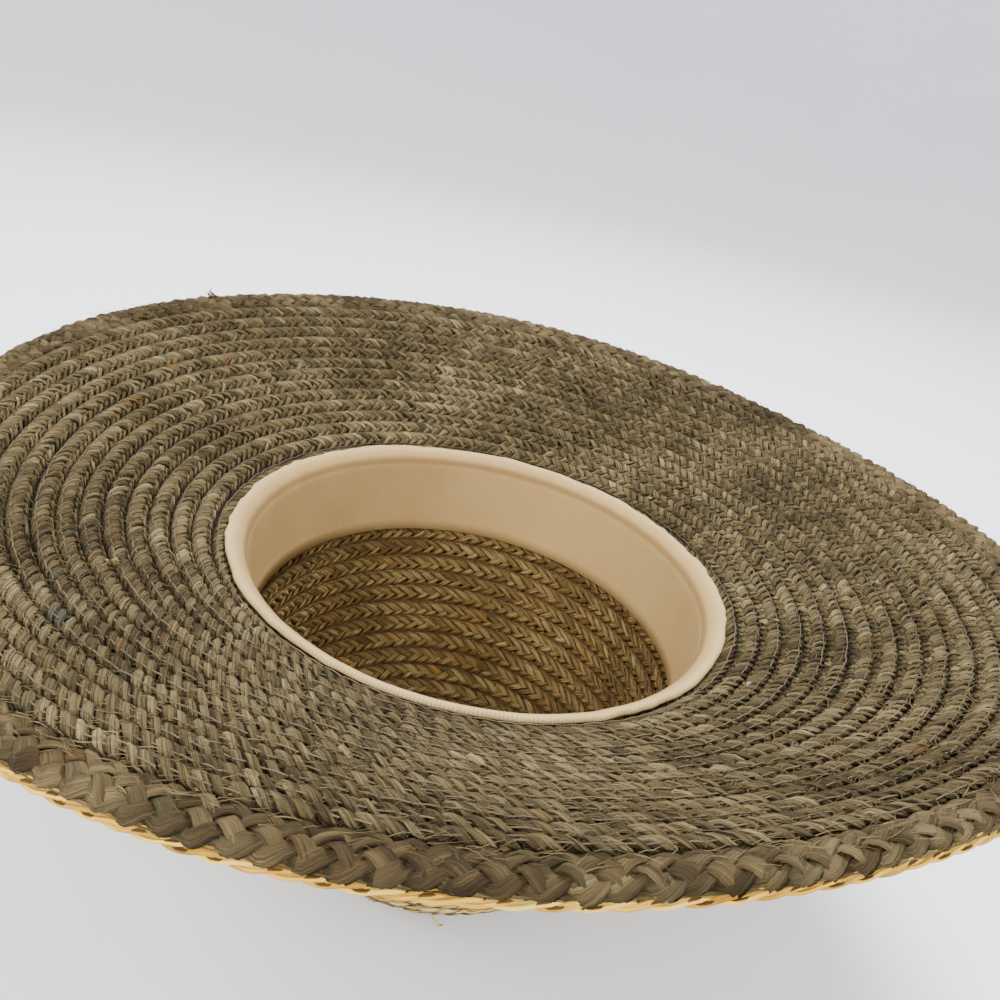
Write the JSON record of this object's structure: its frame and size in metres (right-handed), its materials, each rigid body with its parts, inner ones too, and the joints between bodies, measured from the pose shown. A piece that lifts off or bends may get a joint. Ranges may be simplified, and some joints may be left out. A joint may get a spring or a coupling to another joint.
{
  "type": "wide-brim straw hat",
  "caption": "Wide-brim hat of braided straw sewn in a spiral, with a deep round crown and a ribbon sweatband, resting on its crown.",
  "frame": {"origin": "centre of the crown tip's outer face, which is the middle of the hat's box at its lowest height as it rests on its crown", "axes": "+Z from the crown tip toward the head opening, -Y toward the front of the hat, +Y toward its back"},
  "size_m": [0.3866, 0.4206, 0.1505],
  "materials": {
    "golden_straw": "plaited palm straw, golden, satin",
    "worn_straw": "plaited palm straw, grey-brown, matt and fibrous",
    "rim_straw": "plaited palm straw with a full folded edge, golden",
    "cream_ribbon": "ribbed cream ribbon with a soft paler lip"
  },
  "bodies": {
    "root": {"crown_tip": "golden_straw", "crown_shoulder": "golden_straw", "crown_side": "golden_straw", "brim": "worn_straw", "rim_braid": "rim_straw", "sweatband": "cream_ribbon"}
  },
  "joints": []
}
